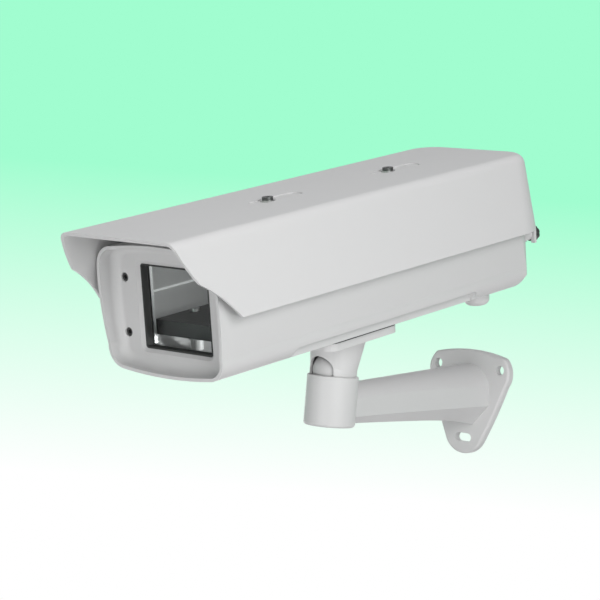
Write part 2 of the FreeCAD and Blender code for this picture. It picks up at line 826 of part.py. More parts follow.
finish(shaped("HousingTray", housing_tray()), "housing_tray", housing_pose)
finish(shaped("Cover", cover()), "cover", housing_pose)
finish(shaped("CoverSeal", cover_seal()), "cover_seal", housing_pose)
finish(shaped("Sunshield", sunshield()), "sunshield", housing_pose)
finish(shaped("WindowGasket", window_gasket()), "window_gasket", housing_pose)
finish(shaped("WindowClamp", window_clamp()), "window_clamp", housing_pose)


# Window glass and fasteners

def socket_screw(name, head, head_height, shank, length, socket, top, along):
    """Cap screw with the middle of its head's top at a point and its shank along a direction."""
    x, y, z = top
    under_y = f"{y} + ({head_height}) * {along.y}"
    under_z = f"{z} + ({head_height}) * {along.z}"
    cap = cylinder(f"{name}Head", head, head_height, x, y, z, along)
    stem = cylinder(f"{name}Shank", shank, length, x, under_y, under_z, along)
    key = hexagon(f"{name}Socket", socket, f"({head_height}) * {SOCKET_DEPTH}", x, y, z, along)
    return cut(name, fuse(f"{name}Body", [cap, stem]), [key])


def ring(name, outer, bore, height, x="0", y="0", z="0", along=UP):
    body = cylinder(f"{name}Outer", outer, height, x, y, z, along)
    return cut(name, body, [cylinder(f"{name}Bore", bore, height, x, y, z, along)])


glass = box("GlassBlank", "Sizes.window_width + 2 * Sizes.glass_overlap", "Sizes.glass_thickness",
            "Sizes.window_height + 2 * Sizes.glass_overlap", "0", glass_front,
            f"{window_z} - Sizes.window_height / 2 - Sizes.glass_overlap")
finish(rounded("WindowGlass", glass, "Sizes.window_radius + Sizes.glass_overlap", runs_back),
       "window_glass", housing_pose)

bezel_grip = ("Sizes.face_thickness + Sizes.gasket_lip + Sizes.glass_thickness + Sizes.clamp_thickness"
              " - Sizes.bezel_head_height - 1")
bezel_screws = [
    socket_screw(f"BezelScrew{i}", "Sizes.bezel_head_diameter", "Sizes.bezel_head_height",
                 "Sizes.bezel_screw_diameter", bezel_grip, "Sizes.bezel_head_diameter / 2",
                 (x, f"{face_plane} + 1", z), BACK)
    for i, (x, z) in enumerate(bezel_spots)
]
finish(group("BezelScrews", bezel_screws), "bezel_screws", housing_pose)

# Sunshield fixings: posts on the cover, washers and screws on top

washer_base = "-Sizes.dimple_depth"
screw_top = f"{washer_base} + Sizes.shield_washer_thickness + Sizes.shield_screw_head_height"
posts = [ring(f"ShieldPost{i}", "Sizes.shield_post_diameter", loose("shield_screw_diameter"),
              "Sizes.shell_top - Sizes.shield_wall", "0", row, shell_roof)
         for i, row in enumerate(shield_rows)]
finish(group("ShieldPosts", posts), "shield_posts", housing_pose)
washers = [ring(f"ShieldWasher{i}", "Sizes.shield_washer_diameter", loose("shield_screw_diameter"),
                "Sizes.shield_washer_thickness", "0", row, washer_base)
           for i, row in enumerate(shield_rows)]
finish(group("ShieldWashers", washers), "shield_washers", housing_pose)
shield_grip = "Sizes.shield_washer_thickness - Sizes.dimple_depth + Sizes.shell_top + 6"
screws = [socket_screw(f"ShieldScrew{i}", "Sizes.shield_screw_head", "Sizes.shield_screw_head_height",
                       "Sizes.shield_screw_diameter", shield_grip, "Sizes.shield_screw_head / 3",
                       ("0", row, screw_top), DOWN)
          for i, row in enumerate(shield_rows)]
finish(group("ShieldScrews", screws), "shield_screws", housing_pose)

# Hinge pins and the closing knob with its stud

span = "3 * Sizes.knuckle_length + 2 * Sizes.knuckle_gap"
pins = [cylinder(f"HingePin{i}", "Sizes.hinge_pin_diameter", span, f"-({hinge_side})", row,
                 "-Sizes.hinge_drop", BACK) for i, row in enumerate(hinge_rows)]
finish(group("HingePins", pins), "hinge_pins", housing_pose)

GRIP_FLUTES = 9
knob_front = f"{catch_back} + Sizes.seal_gap"
stud_hold = "Sizes.knob_thickness * 0.6"
disc = cylinder("KnobBlank", "Sizes.knob_diameter", "Sizes.knob_thickness", knob_side, knob_front,
                "-Sizes.knob_drop", BACK)
knob_cuts = [cylinder("KnobBore", "Sizes.knob_stud_diameter", stud_hold, knob_side, knob_front,
                      "-Sizes.knob_drop", BACK)]
for i in range(GRIP_FLUTES):
    turn = f"{360 / GRIP_FLUTES * i} deg"
    knob_cuts.append(cylinder(f"KnobFlute{i}", "Sizes.knob_diameter / 7", "Sizes.knob_thickness",
                              f"{knob_side} + Sizes.knob_diameter * {FLUTE_REACH} * cos({turn})", knob_front,
                              f"-Sizes.knob_drop + Sizes.knob_diameter * {FLUTE_REACH} * sin({turn})", BACK))
finish(cut("ClosingKnob", disc, knob_cuts), "closing_knob", housing_pose)
stud_start = f"{catch_front} - Sizes.seal_gap - Sizes.knob_stud_depth"
stud_length = f"Sizes.knob_stud_depth + Sizes.catch_thickness + 2 * Sizes.seal_gap + {stud_hold}"
stud = cylinder("StudBar", "Sizes.knob_stud_diameter", stud_length, knob_side, stud_start,
                "-Sizes.knob_drop", BACK)
finish(group("KnobStud", [stud]), "knob_stud", housing_pose)

# Camera tray: a folded channel on four posts, with a track for the camera slide

sheet_metal = box("TrayBlank", "Sizes.tray_width", "Sizes.tray_length", "Sizes.tray_flange", "0",
                  "Sizes.tray_front", f"{tray_top} - Sizes.tray_flange")
folded = rounded("TrayFold", sheet_metal, "Sizes.tray_sheet",
                 lambda edge: runs_back(edge) and edge.CenterOfMass.z > worth(tray_top) - 1)
under = box("TrayInside", "Sizes.tray_width - 2 * Sizes.tray_sheet", "Sizes.tray_length",
            "Sizes.tray_flange", "0", "Sizes.tray_front + Sizes.tray_sheet",
            f"{tray_under} - Sizes.tray_flange")
track_front = "Sizes.tray_front + (Sizes.tray_length - Sizes.track_length) / 2"
track = box("Track", "Sizes.track_width", "Sizes.track_length", "4 * Sizes.tray_sheet", "0", track_front,
            f"{tray_top} - 2 * Sizes.tray_sheet")
tray_holes = [cylinder(f"TrayHole{i}", loose("tray_screw_diameter"), "4 * Sizes.tray_sheet", x, y,
                       f"{tray_top} - 2 * Sizes.tray_sheet") for i, (x, y) in enumerate(post_spots)]
finish(cut("CameraTray", folded, [under, track] + tray_holes), "camera_tray", housing_pose)
tray_screws = [socket_screw(f"TrayScrew{i}", "Sizes.tray_screw_head", "Sizes.tray_screw_head_height",
                            "Sizes.tray_screw_diameter", "Sizes.tray_sheet + Sizes.tray_screw_grip",
                            "Sizes.tray_screw_head / 3", (x, y, f"{tray_top} + Sizes.tray_screw_head_height"),
                            DOWN) for i, (x, y) in enumerate(post_spots)]
finish(group("TrayScrews", tray_screws), "tray_screws", housing_pose)

slide_blank = box("SlideBlank", "Sizes.slide_width", "Sizes.slide_length", "Sizes.slide_thickness", "0",
                  "Sizes.slide_front", slide_base)
slide_round = rounded("SlideRound", slide_blank, "Sizes.slide_thickness", runs_up)
key = box("SlideKey", "Sizes.slide_key_width", "Sizes.slide_length - 2 * Sizes.slide_key_setback",
          "Sizes.tray_sheet + Sizes.slide_gap", "0", "Sizes.slide_front + Sizes.slide_key_setback", tray_under)
camera_y = "Sizes.slide_front + Sizes.camera_screw_setback"
thumb_y = "Sizes.slide_front + Sizes.thumb_screw_setback"
slide_top = f"{slide_base} + Sizes.slide_thickness"
slide_holes = [cylinder("CameraHole", close("camera_screw_diameter"), f"{2 * LONG_REACH}", "0", camera_y,
                        f"{tray_top} - {LONG_REACH}"),
               cylinder("ThumbHole", close("tray_screw_diameter"), f"{2 * LONG_REACH}", "0", thumb_y,
                        f"{tray_top} - {LONG_REACH}")]
finish(cut("CameraSlide", fuse("SlideBody", [slide_round, key]), slide_holes), "camera_slide", housing_pose)
screw_seat = f"{tray_under} - Sizes.slide_gap"
camera_head = cylinder("CameraScrewHead", "Sizes.camera_screw_head",
                       "Sizes.camera_screw_head_height", "0", camera_y,
                       f"{screw_seat} - Sizes.camera_screw_head_height")
neck_length = "Sizes.tray_sheet + 3 * Sizes.slide_gap + Sizes.slide_thickness"
camera_neck = cylinder("CameraScrewNeck", "Sizes.camera_screw_neck", neck_length, "0", camera_y, screw_seat)
camera_thread = cylinder("CameraScrewThread", "Sizes.camera_screw_diameter", "Sizes.camera_screw_length",
                         "0", camera_y, f"{screw_seat} + {neck_length}")
finish(fuse("CameraScrew", [camera_head, camera_neck, camera_thread]), "camera_screw", housing_pose)
thumb_head = cylinder("ThumbHead", "Sizes.thumb_knob_diameter", "Sizes.thumb_knob_height", "0", thumb_y,
                      slide_top)
thumb_stem = cylinder("ThumbStem", "Sizes.tray_screw_diameter", "Sizes.slide_thickness + Sizes.tray_sheet",
                      "0", thumb_y, f"{slide_top} - Sizes.slide_thickness - Sizes.tray_sheet")
finish(fuse("SlideScrew", [thumb_head, thumb_stem]), "slide_screw", housing_pose)

# Cable entries in the floor: rounded blanking plugs, their seals and lock nuts

seal_bottom = f"{base_plane} - Sizes.plug_seal_thickness"
plugs = []
for i, x in enumerate(plug_spots):
    head = cylinder(f"PlugHead{i}", "Sizes.plug_diameter", "Sizes.plug_height", x, "Sizes.plug_position",
                    f"{seal_bottom} - Sizes.plug_height")
    head_round = rounded(f"PlugRound{i}", head, "Sizes.plug_height * 0.6",
                         lambda edge: edge.Closed and edge.BoundBox.ZMax < worth(seal_bottom) - 1)
    stem = cylinder(f"PlugStem{i}", "Sizes.plug_thread_diameter",
                    "Sizes.plug_seal_thickness + Sizes.shell_wall + Sizes.plug_nut_thickness + 2", x,
                    "Sizes.plug_position", seal_bottom)
    plugs.append(fuse(f"Plug{i}", [head_round, stem]))
finish(group("EntryPlugs", plugs), "entry_plugs", housing_pose)
seals = [ring(f"PlugSeal{i}", "Sizes.plug_diameter - 1", close("plug_thread_diameter"),
              "Sizes.plug_seal_thickness", x, "Sizes.plug_position", seal_bottom)
         for i, x in enumerate(plug_spots)]
finish(group("PlugSeals", seals), "plug_seals", housing_pose)
nuts = [cut(f"PlugNut{i}",
            hexagon(f"PlugNutBlank{i}", "Sizes.plug_nut_width", "Sizes.plug_nut_thickness", x,
                    "Sizes.plug_position", floor_top),
            [cylinder(f"PlugNutBore{i}", snug("plug_thread_diameter"), "Sizes.plug_nut_thickness", x,
                      "Sizes.plug_position", floor_top)])
        for i, x in enumerate(plug_spots)]
finish(group("PlugNuts", nuts), "plug_nuts", housing_pose)

groove = cylinder("GrommetGroove", "Sizes.grommet_groove", "Sizes.shell_wall + Sizes.pad_thickness", "0",
                  "Sizes.pivot_setback", pad_bottom)
upper_lip = cylinder("GrommetLip", "Sizes.grommet_lip", "Sizes.grommet_lip_thickness", "0",
                     "Sizes.pivot_setback", floor_top)
grommet_hole = cylinder("GrommetBore", "Sizes.grommet_bore", f"{PAD_REACH}", "0", "Sizes.pivot_setback",
                        f"{pad_bottom} - {OVERSHOOT}")
finish(cut("CableGrommet", fuse("GrommetBody", [groove, upper_lip]), [grommet_hole]),
       "cable_grommet", housing_pose)


# Head casting that carries the housing on the ball

def head_outline(name, thickness, bottom):
    blank = box(f"{name}Blank", "Sizes.head_plate_width", "Sizes.head_plate_length", thickness, "0",
                "Sizes.head_plate_front", bottom)
    return rounded(f"{name}Round", blank, "Sizes.head_plate_radius", runs_up)


pad_holes = [cylinder(f"PadHole{i}", loose("base_screw_diameter"), f"{PAD_REACH}", x, y,
                      f"{pad_bottom} - {OVERSHOOT}")
             for i, (x, y) in enumerate(base_spots)]
pad_way = cylinder("PadWay", "Sizes.grommet_groove", f"{PAD_REACH}", "0", "Sizes.pivot_setback",
                   f"{pad_bottom} - {OVERSHOOT}")
finish(cut("BasePad", head_outline("Pad", "Sizes.pad_thickness", pad_bottom), pad_holes + [pad_way]),
       "base_pad", housing_pose)


def oval_wire(half_width, half_length, y, z):
    """Ellipse in plan, longer from front to rear than it is wide."""
    centre = Vector(0, y, z)
    ellipse = Part.Ellipse(centre + BACK * half_length, centre - ACROSS * half_width, centre)
    return Part.Wire([ellipse.toShape()])


def head_casting(plate):
    """Plate with a hood that comes down over the ball, open in an arch at the front."""
    setback = size("pivot_setback")
    level = -size("pivot_drop")
    centre = Vector(0, setback, level)
    radius = size("hood_radius")
    under = worth(plate_bottom)

    def neck(inset, top):
        base_radius = size("hood_neck_radius") - inset
        base = oval_wire(base_radius - 0.01, base_radius, setback, level + size("hood_neck_rise"))
        crown = oval_wire(size("hood_top_half_width") - inset, size("hood_top_half_length") - inset,
                          setback + size("hood_top_offset"), top)
        return Part.makeLoft([base, crown], True, True)

    skirt = block(-BEYOND, BEYOND, 0, 3 * BEYOND, level - BEYOND, level - size("hood_skirt"))
    hood = Part.makeSphere(radius, centre).cut(skirt).fuse(neck(0, under + 1))
    bore = radius - size("hood_wall")
    hollow = Part.makeSphere(bore, centre).fuse(neck(size("hood_wall"), under))
    hollow = hollow.fuse(rod(bore, size("hood_skirt") + OVERSHOOT, centre, DOWN))
    # arch at the front with upright sides, so that the ball shows at every tilt
    half = size("arch_radius")
    top = level + size("arch_rise")
    arch = rod(half, 2 * radius, Vector(0, setback, top), FORWARD)
    arch = arch.fuse(block(-half, half, setback - 2 * radius, setback, level - 2 * radius, top))
    casting = plate.fuse(hood.cut(hollow)).cut(arch)
    start = under - OVERSHOOT
    through = size("head_plate_thickness") + 2 * OVERSHOOT
    casting = casting.cut(rod(size("grommet_groove") / 2, through, Vector(0, setback, start)))
    for x, y in spots(base_spots):
        casting = casting.cut(rod(size("base_screw_diameter") / 2 + THREAD_PLAY, through, Vector(x, y, start)))
    reach = size("trunnion_outer")
    return casting.cut(rod(size("trunnion_diameter") / 2, 2 * reach, centre - ACROSS * reach, ACROSS))


head_plate = head_outline("HeadPlate", "Sizes.head_plate_thickness", plate_bottom)
document.recompute()
finish(shaped("HeadCasting", head_casting(head_plate.Shape)), "head_casting", housing_pose)

washer_top = f"{floor_top} + Sizes.base_washer_thickness"
base_washers = [ring(f"BaseWasher{i}", "Sizes.base_washer_diameter", loose("base_screw_diameter"),
                     "Sizes.base_washer_thickness", x, y, floor_top) for i, (x, y) in enumerate(base_spots)]
finish(group("BaseWashers", base_washers), "base_washers", housing_pose)
base_grip = ("Sizes.base_washer_thickness + Sizes.shell_wall + Sizes.pad_thickness"
             " + Sizes.head_plate_thickness - 1")
base_screws = [socket_screw(f"BaseScrew{i}", "Sizes.base_screw_head", "Sizes.base_screw_diameter",
                            "Sizes.base_screw_diameter", base_grip, "Sizes.base_screw_head / 2",
                            (x, y, f"{washer_top} + Sizes.base_screw_diameter"), DOWN)
               for i, (x, y) in enumerate(base_spots)]
finish(group("BaseScrews", base_screws), "base_screws", housing_pose)

tilt_pins = [cylinder(f"TiltPin{i}", "Sizes.trunnion_diameter", "Sizes.trunnion_outer - Sizes.trunnion_inner",
                      start, "Sizes.pivot_setback", "-Sizes.pivot_drop", ACROSS)
             for i, start in enumerate(("Sizes.trunnion_inner", "-Sizes.trunnion_outer"))]
finish(group("TiltPins", tilt_pins), "tilt_pins", housing_pose)

# Swivel ball on its shank, drawn about the pivot

ball = bind(document.addObject("Part::Sphere", "Ball"),
            Radius="Sizes.hood_radius - Sizes.hood_wall - Sizes.ball_clearance")
shank = cylinder("Shank", "Sizes.shank_diameter", "Sizes.shank_length", z="-Sizes.shank_length")
flange = cylinder("ShankFlange", "Sizes.shank_flange", "Sizes.shank_flange_thickness",
                  z="-Sizes.cup_floor_drop + Sizes.swivel_gap")
ball_holes = [cylinder("BallBore", "Sizes.cable_bore", "3 * Sizes.shank_length", z="-2 * Sizes.shank_length")]
ball_holes += [cylinder(f"TrunnionHole{i}", "Sizes.trunnion_diameter + 2 * Sizes.running_clearance",
                        "Sizes.hood_radius", start, along=ACROSS)
               for i, start in enumerate(("Sizes.trunnion_inner - 0.3",
                                          "0.3 - Sizes.trunnion_inner - Sizes.hood_radius"))]
finish(cut("SwivelBall", fuse("BallBody", [ball, shank, flange]), ball_holes), "swivel_ball", swivel_pose)

washer_level = "-(Sizes.cup_floor_drop + Sizes.cup_floor + Sizes.swivel_gap + Sizes.swivel_washer_thickness)"
nut_level = f"{washer_level} - Sizes.swivel_nut_thickness"
finish(ring("SwivelWasher", "Sizes.swivel_washer_diameter", snug("shank_diameter"),
            "Sizes.swivel_washer_thickness", z=washer_level), "swivel_washer", swivel_pose)
nut_blank = hexagon("SwivelNutBlank", "Sizes.swivel_nut_width", "Sizes.swivel_nut_thickness", z=nut_level)
nut_bore = cylinder("SwivelNutBore", snug("shank_diameter"), "Sizes.swivel_nut_thickness", z=nut_level)
finish(cut("SwivelNut", nut_blank, [nut_bore]), "swivel_nut", swivel_pose)


# Arm casting: wall plate, hollow tapered arm and the collar that cups the ball

def arm_section(way, inset):
    """Arm's cross-section at a share of the way from the collar's axis to the wall."""
    y = -size("wall_to_pivot") * (1 - way)

    def between(name, power):
        neck = size(f"arm_neck_{name}")
        return neck + (size(f"arm_root_{name}") - neck) * way ** power

    half = between("half_width", 2) - inset
    top = between("top", 1) - inset
    crease = between("crease", 1)
    sole = between("bottom", 6) + inset
    sole_half = size("arm_sole_half_width") - inset / 2
    shoulder = ARM_SHOULDER * half
    shoulder_z = top - ARM_SHOULDER_DROP * half
    return loop([
        Vector(-half, y, crease),
        Vector(-shoulder, y, shoulder_z),
        (Vector(0, y, top), Vector(shoulder, y, shoulder_z)),
        Vector(half, y, crease),
        Vector(sole_half, y, sole),
        Vector(-sole_half, y, sole),
    ])


def arm_body(inset, start, end):
    stations = [start, 0.45, 0.7, 0.88, end]
    return Part.makeLoft([arm_section(way, inset) for way in stations], True, False)


def wall_plate():
    """Rounded triangle, wide at the upper holes and narrow at the slot."""
    half = size("plate_half_width")
    top = size("plate_top")
    brow = Vector(half - size("plate_brow_inset"), 0, top - size("plate_brow_drop"))
    cheek = Vector(half - size("plate_cheek_inset"), 0, -size("plate_cheek_drop"))
    jaw = Vector(size("slot_length") + size("plate_jaw_margin"), 0, -size("plate_jaw_drop"))

    def other(point):
        return Vector(-point.x, point.y, point.z)

    cheek_way = Vector(half, 0, 1)
    jaw_way = (cheek + jaw) / 2 + Vector(size("plate_jaw_bulge"), 0, -size("plate_jaw_sag"))
    outline = loop([
        other(brow),
        (Vector(0, 0, top), brow),
        (cheek_way, cheek),
        (jaw_way, jaw),
        (Vector(0, 0, -size("plate_bottom")), other(jaw)),
        (other(jaw_way), other(cheek)),
        (other(cheek_way), other(brow)),
    ])
    plate = Part.Face(outline).extrude(FORWARD * size("plate_thickness"))
    plate = plate.makeFillet(2 * size("plate_edge_radius"), [e for e in plate.Edges if runs_back(e)])
    rim = [e for e in plate.Edges if e.BoundBox.YMax < -size("plate_thickness") + 0.01]
    return plate.makeFillet(size("plate_edge_radius"), rim)


def arm_casting():
    reach = size("wall_to_pivot")
    level = size("pivot_height")
    centre = Vector(0, -reach, level)
    collar_top = level - size("collar_drop")
    collar_base = collar_top - size("collar_height")
    collar = rod(size("collar_radius"), size("collar_height"), Vector(0, -reach, collar_base))
    rim = [e for e in collar.Edges if e.Closed and e.BoundBox.ZMin > collar_top - 0.01]
    collar = collar.makeFillet(size("collar_round"), rim)
    foot = [e for e in collar.Edges if e.Closed and e.BoundBox.ZMax < collar_base + 0.01]
    collar = collar.makeFillet(size("collar_foot_round"), foot)
    root = 1 - size("plate_thickness") / 2 / reach
    casting = wall_plate().fuse(arm_body(0, 0.05, root)).fuse(collar)
    # cup for the hood, floor under the ball and open pocket for the nut
    floor_level = level - size("cup_floor_drop")
    cup = Part.makeSphere(size("hood_radius") + size("cup_clearance"), centre)
    cup = cup.cut(block(-BEYOND, BEYOND, -3 * BEYOND, BEYOND, floor_level - BEYOND, floor_level))
    seat_radius = size("shank_flange") / 2 + HOLE_PLAY
    casting = casting.cut(cup).cut(rod(seat_radius, size("hood_radius") / 2, Vector(0, -reach, floor_level)))
    pocket_top = floor_level - size("cup_floor")
    casting = casting.cut(rod(size("pocket_radius"), BEYOND, Vector(0, -reach, pocket_top), DOWN))
    casting = casting.cut(rod(size("shank_diameter") / 2 + size("running_clearance"), size("cup_floor") * 3,
                              Vector(0, -reach, pocket_top - size("cup_floor"))))
    # hollow of the arm, open into the pocket and through the wall plate
    under_floor = block(-BEYOND, BEYOND, -reach, 0, -BEYOND, pocket_top)
    past_collar = block(-BEYOND, BEYOND, -reach + size("collar_radius"), 1, -BEYOND, BEYOND)
    hollow = arm_body(size("arm_wall"), 0.06, 1.0).common(under_floor.fuse(past_collar))
    casting = casting.cut(hollow)
    # fixing holes and slot, with spot faces where they run into the arm
    depth = size("plate_thickness") + OVERSHOOT
    for side in (-1, 1):
        hole = Vector(side * size("fixing_half_pitch"), 1, 0)
        casting = casting.cut(rod(size("fixing_diameter") / 2, depth, hole, FORWARD))
    slot = oval(size("slot_length"), size("slot_width"), depth, Vector(0, 1, -size("slot_drop")),
                FORWARD, ACROSS)
    return casting.cut(slot)


finish(shaped("ArmCasting", arm_casting()), "arm_casting")

# Check every object, then write one file for each node
document.recompute()
for thing in document.Objects:
    if "Invalid" in thing.State or "Error" in thing.State:
        raise RuntimeError(f"{thing.Name} did not compute: {thing.State}")
for piece in pieces:
    if piece.Shape.isNull() or not piece.Shape.isValid() or not piece.Shape.Solids:
        raise RuntimeError(f"{piece.Label} has no valid solid")
os.makedirs("parts", exist_ok=True)
for piece in pieces:
    piece.Shape.exportStep(f"parts/{piece.Label}.step")
    print(piece.Label, len(piece.Shape.Solids), round(piece.Shape.Volume), round(piece.Shape.BoundBox.YMax, 1))
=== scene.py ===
# %% [markdown]
# # A camera housing on its wall bracket
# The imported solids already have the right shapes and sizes, so this lesson gives them
# their finishes, adds the threads, grips and seal lips that are too fine for solids, and
# photographs the result in a plain pale studio. The frame is loaded first, because
# every later piece takes its place from it.

# %% Load the frame
import math
import bmesh
import bpy
from mathutils import Matrix, Vector


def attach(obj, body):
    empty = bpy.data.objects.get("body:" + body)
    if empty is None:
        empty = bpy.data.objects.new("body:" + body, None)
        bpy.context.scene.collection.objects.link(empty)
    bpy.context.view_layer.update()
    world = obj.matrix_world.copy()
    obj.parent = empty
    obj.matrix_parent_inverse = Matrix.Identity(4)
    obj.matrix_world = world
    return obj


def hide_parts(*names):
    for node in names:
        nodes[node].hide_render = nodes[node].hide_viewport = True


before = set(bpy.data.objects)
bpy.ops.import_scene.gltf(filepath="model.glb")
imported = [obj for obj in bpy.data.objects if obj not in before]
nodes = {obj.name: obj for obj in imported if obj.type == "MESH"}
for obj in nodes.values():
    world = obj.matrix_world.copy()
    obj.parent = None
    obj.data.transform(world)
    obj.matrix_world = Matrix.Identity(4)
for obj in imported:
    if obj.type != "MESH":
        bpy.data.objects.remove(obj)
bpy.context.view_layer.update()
MM = 0.001


# %% [markdown]
# ## Shader maths as plain Python
# A material is a graph of small nodes. Written by hand it soon becomes a page of links,
# so one class wraps a socket and lets Python's own signs add the Math nodes. Colours
# would turn grey in a Math node, so they are mixed by a method of their own.

# %% The shader helper
class Wire:
    """A socket of a material that can be added, multiplied and compared."""

    def __init__(self, tree, socket):
        self.tree = tree
        self.socket = socket

    def maths(self, operation, *others):
        node = self.tree.nodes.new("ShaderNodeMath")
        node.operation = operation
        for place, value in enumerate((self,) + others):
            join(self.tree, value, node.inputs[place])
        return Wire(self.tree, node.outputs[0])

    def __add__(self, other):
        return self.maths("ADD", other)

    def __radd__(self, other):
        return self.maths("ADD", other)

    def __mul__(self, other):
        return self.maths("MULTIPLY", other)

    def __rmul__(self, other):
        return self.maths("MULTIPLY", other)

    def __sub__(self, other):
        return self.maths("SUBTRACT", other)

    def __rsub__(self, other):
        return (self * -1.0).maths("ADD", other)

    def clamp(self, low, high):
        return self.maths("MAXIMUM", low).maths("MINIMUM", high)


def join(tree, value, socket):
    """Links a wire to a socket, or writes a plain value on it."""
    if isinstance(value, Wire):
        tree.links.new(value.socket, socket)
    else:
        socket.default_value = value


class Finish:
    """A material under construction: its tree, its principled shader and its textures."""

    def __init__(self, name):
        self.material = bpy.data.materials.new(name)
        self.material.use_nodes = True
        self.tree = self.material.node_tree
        self.shader = self.tree.nodes["Principled BSDF"]
        self.place = Wire(self.tree, self.tree.nodes.new("ShaderNodeTexCoord").outputs["Object"])

    def node(self, kind, settings, output=0, **inputs):
        """Any other node: its settings first, then the values or links of its sockets."""
        node = self.tree.nodes.new(kind)
        for name, value in settings.items():
            if name == "stops":
                ramp = node.color_ramp
                for element, (position, colour) in zip(ramp.elements, value):
                    element.position = position
                    element.color = colour
            else:
                setattr(node, name, value)
        for name, value in inputs.items():
            join(self.tree, value, node.inputs[name.replace("_", " ")])
        return Wire(self.tree, node.outputs[output])

    def noise(self, per_metre, detail=2.0, roughness=0.5, stretch=None):
        place = self.place
        if stretch:
            place = self.node("ShaderNodeMapping", {}, Vector=place, Scale=stretch)
        return self.node("ShaderNodeTexNoise", {}, Vector=place, Scale=per_metre, Detail=detail,
                         Roughness=roughness)

    def cells(self, per_metre, randomness=1.0):
        return self.node("ShaderNodeTexVoronoi", {"feature": "SMOOTH_F1"}, Vector=self.place,
                         Scale=per_metre, Randomness=randomness)

    def blend(self, share, first, second):
        node = self.tree.nodes.new("ShaderNodeMix")
        node.data_type = "RGBA"
        join(self.tree, share, node.inputs[0])
        join(self.tree, first, node.inputs[6])
        join(self.tree, second, node.inputs[7])
        return Wire(self.tree, node.outputs[2])

    def bump(self, height, distance, strength=1.0):
        bump = self.node("ShaderNodeBump", {}, Height=height, Distance=distance, Strength=strength)
        join(self.tree, bump, self.shader.inputs["Normal"])

    def set(self, **values):
        for name, value in values.items():
            join(self.tree, value, self.shader.inputs[name.replace("_", " ")])


def grey(level, warmth=0.0):
    """A near-neutral colour; warmth moves it a little to yellow, or to blue if negative."""
    return (level * (1 + warmth), level, level * (1 - warmth), 1.0)


print("shader helper ready")


# %% [markdown]
# ## Powder coat
# The castings, the sunshield and the bracket are all sprayed with the same light grey
# powder. Baked powder never lies flat: it has the faint skin of an orange, a few
# millimetres from crest to crest, over the finer pits of the cast metal. Two noises do
# both, and a third, very slow, lets the grey drift as it does on a large part.

# %% The painted castings
PIT_DEPTH = 0.00003


def powder_coat(name, level):
    finish = Finish(name)
    drift = finish.noise(per_metre=9.0)
    speck = finish.noise(per_metre=900.0)
    dust = finish.noise(per_metre=40.0, detail=4.0, roughness=0.6)
    tone = (drift - 0.5) * 0.10 + (dust - 0.5) * 0.08 + (speck - 0.5) * 0.05 + 0.5
    colour = finish.blend(tone.clamp(0.0, 1.0), grey(level * 0.94, 0.004),
                          grey(level * 1.06, -0.002))
    skin = finish.noise(per_metre=330.0, detail=1.0) * 0.7 + finish.noise(per_metre=1300.0) * 0.3
    finish.bump(skin, PIT_DEPTH)
    finish.set(Base_Color=colour, Roughness=(dust - 0.5) * 0.12 + 0.42)
    finish.shader.inputs["Specular IOR Level"].default_value = 0.42
    return finish.material


def dress(material, *names):
    """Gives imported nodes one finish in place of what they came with."""
    for name in names:
        nodes[name].data.materials.clear()
        nodes[name].data.materials.append(material)
    print(material.name, "on", len(names))


PAINT = powder_coat("powder_coat", level=0.60)
dress(PAINT, "housing_tray", "cover", "sunshield", "head_casting", "arm_casting", "swivel_ball",
      "entry_plugs")


# %% [markdown]
# ## Rubber, plastic and glass
# The seals are dark and matt, with the bloom that rubber gets outdoors. The knobs are
# moulded in a harder black plastic with a little gloss. The window is a clear plate.

# %% Rubber, plastic, glass and silicone
LIP_GRAIN = 0.00002


def rubber():
    finish = Finish("rubber")
    bloom = finish.noise(per_metre=60.0, detail=4.0, roughness=0.6)
    colour = finish.blend(bloom, grey(0.012), grey(0.03))
    finish.bump(finish.noise(per_metre=1500.0), PIT_DEPTH)
    finish.set(Base_Color=colour, Roughness=bloom * 0.2 + 0.6)
    return finish.material


def black_plastic():
    finish = Finish("black_plastic")
    grain = finish.cells(per_metre=1400.0)
    colour = finish.blend(finish.noise(per_metre=30.0), grey(0.014), grey(0.022))
    finish.bump(grain, PIT_DEPTH)
    finish.set(Base_Color=colour, Roughness=grain * 0.1 + 0.4)
    return finish.material


def window_glass():
    """Thin clear plate: light goes straight through, and its faces mirror a little."""
    finish = Finish("window_glass")
    tree = finish.tree
    smear = finish.noise(per_metre=25.0, detail=3.0, roughness=0.6)
    finish.set(Base_Color=grey(0.9), Roughness=smear * 0.03 + 0.02)
    finish.shader.inputs["Metallic"].default_value = 1.0
    clear = tree.nodes.new("ShaderNodeBsdfTransparent")
    clear.inputs["Color"].default_value = (0.95, 0.97, 0.965, 1.0)
    facing = finish.node("ShaderNodeLayerWeight", {}, output="Facing", Blend=0.5)
    mirror = facing.maths("POWER", 5.0) * 0.9 + 0.008
    blend = tree.nodes.new("ShaderNodeMixShader")
    join(tree, mirror, blend.inputs["Fac"])
    tree.links.new(clear.outputs[0], blend.inputs[1])
    tree.links.new(finish.shader.outputs[0], blend.inputs[2])
    tree.links.new(blend.outputs[0], tree.nodes["Material Output"].inputs["Surface"])
    return finish.material


def silicone(name="silicone", level=0.60, painted_glow=0.0):
    """Its emission is painted light: the lip shines pale, as a stand-in for daylight carried in by a thin
    clear lip.
    """
    finish = Finish(name)
    bloom = finish.noise(per_metre=60.0, detail=4.0, roughness=0.6)
    colour = finish.blend(bloom, grey(level * 0.85), grey(level))
    finish.bump(finish.noise(per_metre=1500.0), LIP_GRAIN)
    finish.set(Base_Color=colour, Roughness=bloom * 0.2 + 0.5, Emission_Color=colour)
    # The emission strength is painted light, not a lamp.
    finish.shader.inputs["Emission Strength"].default_value = painted_glow
    return finish.material


